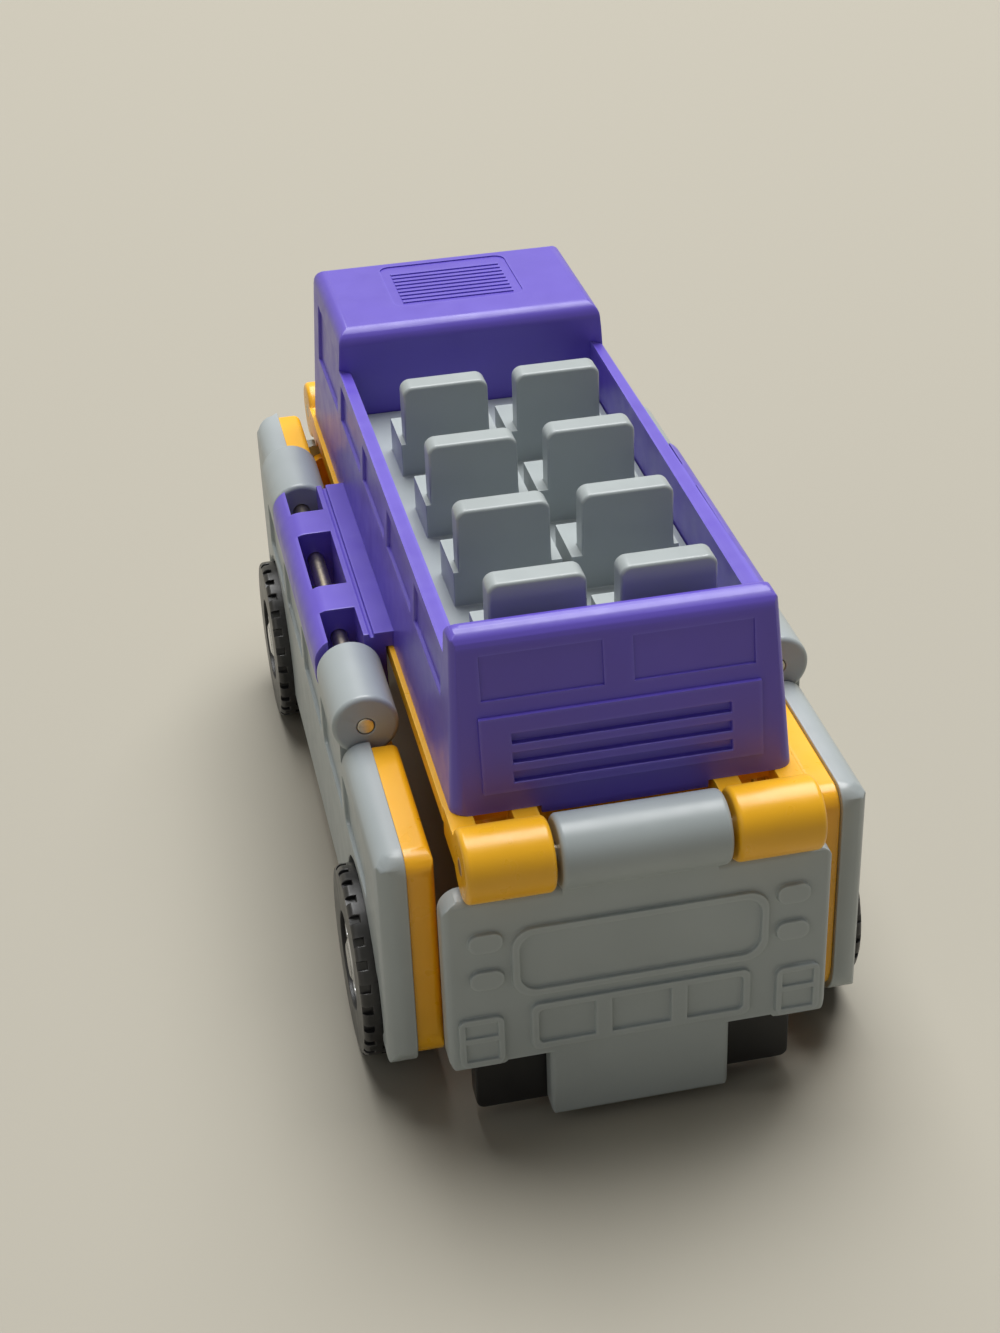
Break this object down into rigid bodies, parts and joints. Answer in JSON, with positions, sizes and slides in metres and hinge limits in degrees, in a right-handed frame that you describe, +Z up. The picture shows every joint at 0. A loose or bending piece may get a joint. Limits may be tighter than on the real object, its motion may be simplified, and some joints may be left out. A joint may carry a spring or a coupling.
{
  "type": "toy bus",
  "caption": "Flip-over open-top toy bus: seated upper deck on a lower cabin, wrapped by hinged side panels with wheels, a tailgate and a front flap.",
  "frame": {"origin": "on the ground under the middle of the bus", "axes": "+Y towards the front of the bus, +Z up, +X to its right"},
  "size_m": [0.0472, 0.0978, 0.05],
  "materials": {
    "purple_abs": "moulded purple ABS, satin gloss",
    "yellow_abs": "moulded yellow ABS, gloss",
    "grey_abs": "moulded grey ABS, satin gloss",
    "black_abs": "moulded black plastic, satin",
    "pin_steel": "drawn steel wire, bright",
    "hub_chrome": "vacuum-plated bright"
  },
  "bodies": {
    "body": {"upper_body": "purple_abs", "seat_deck": "grey_abs", "lower_cabin": "yellow_abs", "body_screws": "pin_steel", "left_hinge_pin": "pin_steel", "right_hinge_pin": "pin_steel", "rear_hinge_pin": "pin_steel", "front_hinge_pin": "pin_steel"},
    "left_panel": {"left_panel_shell": "grey_abs", "left_panel_liner": "yellow_abs"},
    "right_panel": {"right_panel_shell": "grey_abs", "right_panel_liner": "yellow_abs"},
    "tailgate": {"tailgate_shell": "grey_abs", "tailgate_liner": "yellow_abs", "tailgate_bumper": "black_abs"},
    "front_flap": {"front_flap_shell": "grey_abs", "front_flap_liner": "yellow_abs", "front_flap_bumper": "black_abs"},
    "rear_left_wheel": {"rear_left_wheel_outer": "black_abs", "rear_left_wheel_inner": "black_abs", "rear_left_axle": "pin_steel", "rear_left_hubcaps": "hub_chrome"},
    "rear_right_wheel": {"rear_right_wheel_outer": "black_abs", "rear_right_wheel_inner": "black_abs", "rear_right_axle": "pin_steel", "rear_right_hubcaps": "hub_chrome"},
    "front_left_wheel": {"front_left_wheel_outer": "black_abs", "front_left_wheel_inner": "black_abs", "front_left_axle": "pin_steel", "front_left_hubcaps": "hub_chrome"},
    "front_right_wheel": {"front_right_wheel_outer": "black_abs", "front_right_wheel_inner": "black_abs", "front_right_axle": "pin_steel", "front_right_hubcaps": "hub_chrome"}
  },
  "joints": [
    {"name": "left_panel_hinge", "type": "hinge", "parent": "body", "child": "left_panel", "pos_m": [-0.0195, 0, 0.0305], "axis": [0, 1, 0], "range_deg": [0, 180]},
    {"name": "right_panel_hinge", "type": "hinge", "parent": "body", "child": "right_panel", "pos_m": [0.0195, 0, 0.0305], "axis": [0, -1, 0], "range_deg": [0, 180]},
    {"name": "tailgate_hinge", "type": "hinge", "parent": "body", "child": "tailgate", "pos_m": [0, -0.0457, 0.0305], "axis": [-1, 0, 0], "range_deg": [0, 180]},
    {"name": "front_flap_hinge", "type": "hinge", "parent": "body", "child": "front_flap", "pos_m": [0, 0.0457, 0.0305], "axis": [1, 0, 0], "range_deg": [0, 180]},
    {"name": "rear_left_wheel_spin", "type": "hinge", "parent": "left_panel", "child": "rear_left_wheel", "pos_m": [-0.0195, -0.029, 0.009], "axis": [1, 0, 0], "continuous": true},
    {"name": "rear_right_wheel_spin", "type": "hinge", "parent": "right_panel", "child": "rear_right_wheel", "pos_m": [0.0195, -0.029, 0.009], "axis": [1, 0, 0], "continuous": true},
    {"name": "front_left_wheel_spin", "type": "hinge", "parent": "left_panel", "child": "front_left_wheel", "pos_m": [-0.0195, 0.031, 0.009], "axis": [1, 0, 0], "continuous": true},
    {"name": "front_right_wheel_spin", "type": "hinge", "parent": "right_panel", "child": "front_right_wheel", "pos_m": [0.0195, 0.031, 0.009], "axis": [1, 0, 0], "continuous": true}
  ]
}
